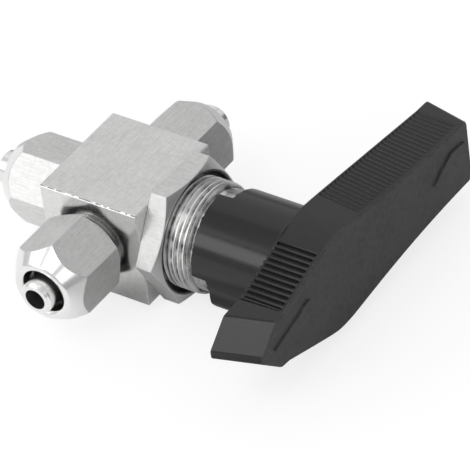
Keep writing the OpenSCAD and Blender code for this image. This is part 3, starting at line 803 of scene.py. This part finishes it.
class BarOutline:
    """Closed outlines of the bar's two faces, with the grooves and the lean of the point."""

    def __init__(self, sizes, ribs):
        self.sizes = sizes
        self.ribs = ribs
        self.outer = self.both_sides(side_stations(sizes, ribs, False))
        self.inner = self.both_sides(side_stations(sizes, ribs, True))
        self.normals = [self.outward(index) for index in range(len(self.outer))]

    def both_sides(self, upper):
        """The closed outline, from its upper side."""
        return upper + [Vector((point.x, -point.y)) for point in reversed(upper[1:-1])]

    def outward(self, index):
        """The outer face's outward direction at one of its points."""
        before = self.outer[index - 1]
        after = self.outer[(index + 1) % len(self.outer)]
        run = (after - before).normalized()
        return Vector((-run.y, run.x))

    def ring(self, depth, inset):
        """Places of the outline at a depth below the outer face, drawn in by an inset."""
        sizes, ribs = self.sizes, self.ribs
        height = sizes.thickness - depth
        place = bar_inner() + height
        near_share = clamped((depth - ribs.margin) / ribs.run_out + 0.5)
        far_share = near_share * clamped((height - ribs.rim) / ribs.run_out + 0.5)
        lean = depth * math.tan(sizes.point_rake)
        end_lean = depth * math.tan(sizes.end_rake)
        point_reach = sizes.short_end - sizes.point_length - sizes.waist_reach
        corner_start = sizes.long_end - 1.1 * sizes.end_corner
        places = []
        for outer, inner, normal in zip(self.outer, self.inner, self.normals):
            near = ribs.near_depth * near_share * groove(
                -outer.x, ribs.near_start, ribs.near_pitch, ribs.near_count, ribs.near_narrow)
            far = ribs.far_depth * far_share * groove(
                outer.x, ribs.far_start, ribs.far_pitch, ribs.far_count, ribs.far_narrow)
            moved = outer.lerp(inner, depth / sizes.thickness) - normal * (near + far + inset)
            leaning = clamped((-outer.x - sizes.waist_reach) / point_reach)
            along_bar = moved.x - lean * leaning + (end_lean if outer.x > corner_start else 0)
            places.append(bent(place, along_bar, moved.y, sizes))
        return places


def bent(place, along_bar, across, sizes):
    """A point of the bar, after its arms are bent down and up."""
    tilt = math.tan(sizes.hang if along_bar > 0 else sizes.lift)
    return Vector((place, along_bar, across - along_bar * tilt))


def loft(rings):
    """A closed solid through rings of equally many places, each ring drawn out of the last."""
    solid = bmesh.new()
    points, sides = outlined(solid, rings[0])
    bmesh.ops.edgeloop_fill(solid, edges=sides)
    for ring in rings[1:]:
        drawn = bmesh.ops.extrude_edge_only(solid, edges=sides)["geom"]
        fresh = {part for part in drawn if isinstance(part, bmesh.types.BMVert)}
        pairs = ((edge.other_vert(vert), vert) for vert in fresh for edge in vert.link_edges)
        ahead = {old: new for old, new in pairs if old not in fresh}
        points = [ahead[point] for point in points]
        for point, place in zip(points, ring):
            point.co = place
        sides = [solid.edges.get(pair) for pair in loop(points)]
    bmesh.ops.edgeloop_fill(solid, edges=sides)
    bmesh.ops.recalc_face_normals(solid, faces=solid.faces)
    return solid


def rounding(radius, steps=4):
    """(depth, inset) pairs of a rounded edge, from the face to the side."""
    bends = [math.pi / 2 * step / steps for step in range(steps + 1)]
    return [(radius * (1 - math.cos(bend)), radius * (1 - math.sin(bend))) for bend in bends]


def model_bar(sizes, ribs):
    """The bar, lofted from its outer face to its inner face."""
    outline = BarOutline(sizes, ribs)
    half = ribs.run_out / 2
    sections = rounding(sizes.outer_round)
    for depth in (ribs.margin, sizes.thickness - ribs.rim):
        sections += [(depth - half, 0), (depth + half, 0)]
    foot = reversed(rounding(sizes.inner_round))
    sections += [(sizes.thickness - depth, inset) for depth, inset in foot]
    return loft([outline.ring(depth, inset) for depth, inset in sections])


def hub_radius(bearing, sizes):
    """Radius of the hub's outside at an angle from +Y towards +Z."""
    round_part = sizes.outer / 2
    if not sizes.pad_from <= bearing <= sizes.pad_to:
        return round_part
    away = -math.cos(bearing)
    flat = sizes.flat / away if away > 0.05 else math.inf
    return max(round_part, min(sizes.pad / 2, flat))


def hub_bearings(sizes):
    """Angles at which the hub is drawn, with both sides of each step."""
    step, sliver = math.radians(3), math.radians(0.4)
    bearings = [index * step for index in range(round(math.tau / step))]
    for edge in (sizes.tab_from, sizes.tab_to, sizes.pad_to):
        bearings = [bearing for bearing in bearings if abs(bearing - edge) > 1.5 * sliver]
        bearings += [edge - sliver, edge + sliver]
    return sorted(bearings)


def model_hub(sizes):
    """The hub with its skirt, tab and side pad, open towards the block."""
    bearings = hub_bearings(sizes)
    skirt = sizes.skirt / 2
    sunk = bar_inner() + 2 * OVERLAP
    flash_detail = 17

    def rim(bearing):
        tab = sizes.tab if sizes.tab_from < bearing < sizes.tab_to else 0
        spot = Vector((math.cos(bearing), math.sin(bearing), 0)) * flash_detail
        return sizes.open_end - tab + sizes.flash * noise.noise(spot)

    def section(bearing):
        """(place, radius) pairs from the skirt's floor round the rim to the bar."""
        edge, outside = rim(bearing), hub_radius(bearing, sizes)
        pairs = [(sizes.floor, skirt), (edge + sizes.lip / 3, skirt), (edge, skirt + sizes.lip / 3)]
        pairs += [(edge + depth, outside - inset) for depth, inset in rounding(sizes.lip, 3)]
        return pairs + [(sunk, outside)]

    sections = [[around(*pair, bearing) for pair in section(bearing)] for bearing in bearings]
    return loft(list(zip(*sections)))


def around(place, radius, bearing):
    """A point at a place along the stem's axis, from its radius and its angle from +Y."""
    return Vector((place, radius * math.cos(bearing), radius * math.sin(bearing)))


def cylinder(radius, start, end, axis, steps=64):
    """A round cutter between two distances along an axis through the origin."""
    solid = bmesh.new()
    middle = Matrix.Translation((0, 0, (start + end) / 2))
    bmesh.ops.create_cone(
        solid, cap_ends=True, segments=steps, radius1=radius, radius2=radius, depth=end - start,
        matrix=axis.to_track_quat("Z", "Y").to_matrix().to_4x4() @ middle,
    )
    return solid


def model_boss(sizes):
    """The stop boss inside the skirt, as a sector of a ring."""
    steps = 24
    sweep = sizes.boss_to - sizes.boss_from
    bearings = [sizes.boss_from + sweep * step / steps for step in range(steps + 1)]
    outer = sizes.skirt / 2 + OVERLAP
    rings = []
    for place in (sizes.floor - sizes.boss_gap, sizes.floor + OVERLAP):
        arc = [around(place, outer, bearing) for bearing in bearings]
        arc += [around(place, sizes.boss_radius, bearing) for bearing in reversed(bearings)]
        rings.append(arc)
    return loft(rings)


def model_mark(half, sizes, ribs):
    """One raised arrow on the outer face; half holds the (y, z) places along its upper side."""
    edge = 0.06 * MM
    outer = bar_outer()
    places = [Vector(point) * MM for point in half]
    outline = places + [Vector((point.x, -point.y)) for point in reversed(places) if point.y > 0]
    middle = sum(outline, Vector((0, 0))) / len(outline)
    rings = []
    for height, inset in ((-1 * MM, 0), (ribs.mark_height - edge, 0), (ribs.mark_height, edge)):
        drawn = [point - (point - middle).normalized() * inset for point in outline]
        rings.append([bent(outer + height, point.x, point.y, sizes) for point in drawn])
    return loft(rings)


def combine(target, cutter, operation):
    """Joins a solid to a piece or cuts it away, and keeps the result as the piece's mesh."""
    tool = piece(cutter, "tool")
    step = target.modifiers.new(operation, "BOOLEAN")
    step.operation = operation
    step.solver = "EXACT"
    step.object = tool
    bpy.context.view_layer.update()
    shaped = target.evaluated_get(bpy.context.evaluated_depsgraph_get())
    mesh = bpy.data.meshes.new_from_object(shaped)
    target.modifiers.clear()
    old = target.data
    target.data = mesh
    bpy.data.meshes.remove(old)
    bpy.data.objects.remove(tool)


# Operators

class VALVE_OT_cap_nuts(Operator):
    """Model the three hexagonal cap nuts with their turned noses"""
    bl_idname = "valve.cap_nuts"
    bl_label = "Cap nuts"

    def execute(self, context):
        sizes = settings("cap_nut")
        ports = {
            "a": (Matrix.Rotation(QUARTER_TURN, 4, "X"), sizes.turn_a, 1),
            "b": (Matrix.Rotation(-QUARTER_TURN, 4, "X"), sizes.turn_b, 1),
            "c": (Matrix.Rotation(-QUARTER_TURN, 4, "Y"), sizes.turn_c, 0),
        }
        backs = {0: -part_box("cap_nut_c")[1].x, 1: -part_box("cap_nut_a")[1].y}
        # The noses get painted shade within 0.5 mm of the nut's back, next to the block
        finishes = {
            axis: (turned_steel(f"nut_nose_{axis}", axis, 0.17, back + 0.5 * MM),
                   drawn_steel(f"nut_flats_{axis}", axis))
            for axis, back in backs.items()
        }
        for port, (rotation, turn, axis) in ports.items():
            node = "cap_nut_" + port
            solid = turned(cap_nut_profile(sizes), turn)
            cut_flats(solid, sizes.across_flats, turn, 1)
            stand(solid, node, rotation)
            nut = piece(solid, "hex_" + node, *finishes[axis])
            rounded(nut, sizes.edge)
            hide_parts(node)
            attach(nut, node)
        return {"FINISHED"}


class VALVE_OT_panel_nut(Operator):
    """Model the thin panel nut on the neck"""
    bl_idname = "valve.panel_nut"
    bl_label = "Panel nut"

    def execute(self, context):
        sizes = settings("panel_nut")
        low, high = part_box("panel_nut")
        thickness = high.x - low.x
        land, hole = sizes.land / 2, sizes.hole / 2
        slope = (sizes.across_flats / math.sqrt(3) - land) / sizes.chamfer
        profile = [
            (hole, 0), (land + slope * thickness, 0), (land, thickness),
            (hole + sizes.sink, thickness), (hole, thickness - sizes.sink_depth),
        ]
        solid = turned(profile, sizes.turn)
        cut_flats(solid, sizes.across_flats, sizes.turn, 1)
        forwards = Matrix.Rotation(QUARTER_TURN, 4, "Z") @ Matrix.Rotation(QUARTER_TURN, 4, "X")
        stand(solid, "panel_nut", forwards)
        nut = piece(solid, "thin_hex_nut", painted_shade_panel_face(), drawn_steel("panel_nut_flats", 0))
        rounded(nut, sizes.edge)
        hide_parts("panel_nut")
        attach(nut, "panel_nut")
        return {"FINISHED"}


class VALVE_OT_handle(Operator):
    """Model the moulded handle with its ribs, arrow marks, hub and skirt"""
    bl_idname = "valve.handle"
    bl_label = "Handle"

    def execute(self, context):
        bar, ribs, hub = settings("bar"), settings("rib"), settings("hub")
        handle = piece(model_bar(bar, ribs), "moulded_handle", handle_plastic())
        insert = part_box("handle_insert")[1]
        low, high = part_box("handle_screw")
        seat = cylinder(
            insert.z + CLEARANCE, hub.floor - 0.5 * MM, insert.x + CLEARANCE, AXIS_X)
        hole = cylinder(high.z + CLEARANCE, low.y, hub.outer, AXIS_Y, 48)
        bmesh.ops.translate(hole, verts=hole.verts, vec=((low.x + high.x) / 2, 0, 0))
        combine(handle, model_hub(hub), "UNION")
        combine(handle, model_boss(hub), "UNION")
        combine(handle, seat, "DIFFERENCE")
        combine(handle, hole, "DIFFERENCE")
        for mark in MARKS:
            combine(handle, model_mark(mark, bar, ribs), "UNION")
        handle.data.shade_smooth()
        handle.data.set_sharp_from_angle(angle=SHARP_ANGLE)
        weigh(handle)
        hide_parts("handle")
        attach(handle, "lever")
        return {"FINISHED"}


class VALVE_OT_finishes(Operator):
    """Finish the pieces that are carried over from the frame"""
    bl_idname = "valve.finishes"
    bl_label = "Finishes"

    def execute(self, context):
        palette = settings("palette")
        dress(valve_block_steel(), "body")
        dress(turned_steel("fitting_side", 1, 0.2), "fitting_a", "fitting_b")
        dress(turned_steel("fitting_rear", 0, 0.2), "fitting_c")
        dress(turned_metal("stem", palette.steel, 0.85, 0.16), "ball_stem")
        dress(turned_metal("gland", palette.steel, 0.7, 0.3), "gland_nut", "gland_follower")
        dress(turned_metal("spring", palette.steel_dull, 0.7, 0.35), "disc_springs")
        dress(turned_metal("insert_brass", palette.brass, 0.8, 0.26), "handle_insert")
        dress(turned_metal("set_screw", palette.black_oxide, 0.7, 0.4), "handle_screw")
        seat = soft_finish("seat_plastic", palette.ptfe, 0.42, 1500.0, 0.01 * MM, 1.06)
        dress(seat, "seat_a", "seat_b", "seat_c", "thrust_washer", "packing_rings")
        rubber = soft_finish("seal_rubber", palette.rubber, 0.5, 2200.0, 0.02 * MM, 1.6)
        dress(rubber, "o_ring_a", "o_ring_b", "o_ring_c")
        return {"FINISHED"}


# The direction of each lamp from the ball, and its width and height in metres
LAMPS = {
    "key": ((-0.49, -0.74, 0.45), (0.32, 0.34)),
    "side": ((-0.72, -0.38, 0.58), (0.55, 0.45)),
    "rear": ((-0.49, 0.61, 0.63), (0.90, 0.90)),
    "back": ((0.45, 0.61, 0.66), (0.60, 0.50)),
    "right": ((0.62, -0.58, 0.50), (0.50, 0.40)),
    "top": ((-0.05, -0.55, 0.83), (0.50, 0.36)),
}
BRIGHT_SIDE = (-0.62, -0.62, 0.48)
FLOOR_REACH = 1.6
SENSOR = 36.0


class VALVE_OT_stage(Operator):
    """Set up the floor, the lamps, the room and the camera"""
    bl_idname = "valve.stage"
    bl_label = "Stage"

    def execute(self, context):
        self.floor()
        self.room(context.scene)
        for name, (direction, size) in LAMPS.items():
            self.lamp(context.scene, name, Vector(direction), size)
        self.camera(context.scene)
        return {"FINISHED"}

    def floor(self):
        """A pale floor that stays white to the camera and keeps the object's shadow; in reflections it
        has a painted pool of light at the front left.
        """
        ground = bmesh.new()
        bmesh.ops.create_grid(ground, x_segments=8, y_segments=8, size=FLOOR_REACH)
        bmesh.ops.translate(ground, verts=ground.verts, vec=(0, 0, CAD_BOX[0].z - 0.02 * MM))
        palette = settings("palette")
        finish = Finish("studio_floor")
        seen = finish.rays("Camera", "Transmission")
        x, y, z = finish.axes()
        # Painted pool of light: in reflections the floor glows brighter at the front left than behind
        # the object
        beyond = (y + 0.7 * x).above(-16.0 * MM, 12.0 * MM)
        bounce = finish.mix(beyond, palette.bounce_front, palette.bounce_back)
        tone = finish.mix(seen, palette.floor, palette.floor_seen)
        matt = finish.node("ShaderNodeBsdfDiffuse", None, {"Color": tone})
        glow = finish.node("ShaderNodeEmission", None, {
            "Color": finish.mix(seen, bounce, WHITE),
            "Strength": (seen + finish.rays("Glossy")) * settings("studio").floor_glow,
        })
        both = {0: matt.outputs[0], 1: glow.outputs[0]}
        finish.end(finish.node("ShaderNodeAddShader", None, both))
        floor = piece(ground, "studio_floor", finish.material)

    def room(self, scene):
        """A white room for the camera, and one that lights the object softly from the front left."""
        studio = settings("studio")
        scene.world = bpy.data.worlds.new("studio_room")
        room = Nodes(scene.world, "ShaderNodeOutputWorld", "Generated")
        towards = room.node("ShaderNodeVectorMath", {"operation": "DOT_PRODUCT"}, {
            0: room.place, 1: Vector(BRIGHT_SIDE).normalized(),
        })
        light = room.node("ShaderNodeMapRange", None, {
            "Value": towards.outputs["Value"], "From Min": -1.0,
            "To Min": studio.room_dark, "To Max": studio.room_bright,
        })
        seen = room.rays("Camera", "Transmission")
        strength = room.node("ShaderNodeMix", None, {0: seen, 2: light.outputs[0], 3: 1.0})
        inputs = {"Color": WHITE, "Strength": strength.outputs[0]}
        room.end(room.node("ShaderNodeBackground", None, inputs))

    def lamp(self, scene, name, direction, size):
        """A soft box in a direction from the ball, aimed at it."""
        studio = settings("studio")
        brightness = getattr(studio, name + "_strength")
        light = bpy.data.lights.new(name, "AREA")
        light.shape = "RECTANGLE"
        light.size, light.size_y = size
        light.energy = brightness * math.pi * size[0] * size[1]
        lamp = bpy.data.objects.new(name, light)
        place = Matrix.Translation(direction.normalized() * studio.lamp_distance)
        lamp.matrix_world = place @ direction.to_track_quat("Z", "Y").to_matrix().to_4x4()
        scene.collection.objects.link(lamp)

    def camera(self, scene):
        """A long lens at the photograph's viewing angle."""
        studio = settings("studio")
        side, height, roll = studio.azimuth, studio.elevation, studio.roll
        back = Matrix.Rotation(side, 3, "Z") @ Matrix.Rotation(-height, 3, "X") @ -AXIS_Y
        level = AXIS_Z.cross(back).normalized()
        upright = back.cross(level)
        right = math.cos(roll) * level + math.sin(roll) * upright
        up = math.cos(roll) * upright - math.sin(roll) * level
        place = AXIS_X * studio.port_axis + back * studio.distance
        place += right * studio.aim_right - up * studio.aim_down
        view = bpy.data.cameras.new("camera")
        view.sensor_width = SENSOR
        view.lens = studio.lens
        view.clip_start = 0.05
        view.clip_end = 20.0
        camera = bpy.data.objects.new("camera", view)
        turn = Matrix((right, up, back)).transposed().to_4x4()
        camera.matrix_world = Matrix.Translation(place) @ turn
        scene.collection.objects.link(camera)
        scene.camera = camera
        scene.view_settings.view_transform = "Standard"


STEPS = (VALVE_OT_cap_nuts, VALVE_OT_panel_nut, VALVE_OT_handle, VALVE_OT_finishes, VALVE_OT_stage)


class VALVE_PT_panel(Panel):
    """Lists the steps that build the valve"""
    bl_idname = "VALVE_PT_panel"
    bl_label = "Three-way ball valve"
    bl_space_type = "VIEW_3D"
    bl_region_type = "UI"
    bl_category = "Valve"

    def draw(self, context):
        for step in STEPS:
            self.layout.operator(step.bl_idname)
        for name, group in SETTINGS.items():
            box = self.layout.box()
            box.label(text=group.__doc__)
            for key in group.__annotations__:
                box.prop(settings(name), key)


def register():
    for group in (*SETTINGS.values(), *STEPS, VALVE_PT_panel):
        bpy.utils.register_class(group)
    for name, group in SETTINGS.items():
        setattr(bpy.types.Scene, "valve_" + name, PointerProperty(type=group))


def unregister():
    for name in SETTINGS:
        delattr(bpy.types.Scene, "valve_" + name)
    for group in reversed((*SETTINGS.values(), *STEPS, VALVE_PT_panel)):
        bpy.utils.unregister_class(group)


def main():
    register()
    for step in STEPS:
        family, name = step.bl_idname.split(".")
        getattr(getattr(bpy.ops, family), name)()


if __name__ == "__main__":
    main()
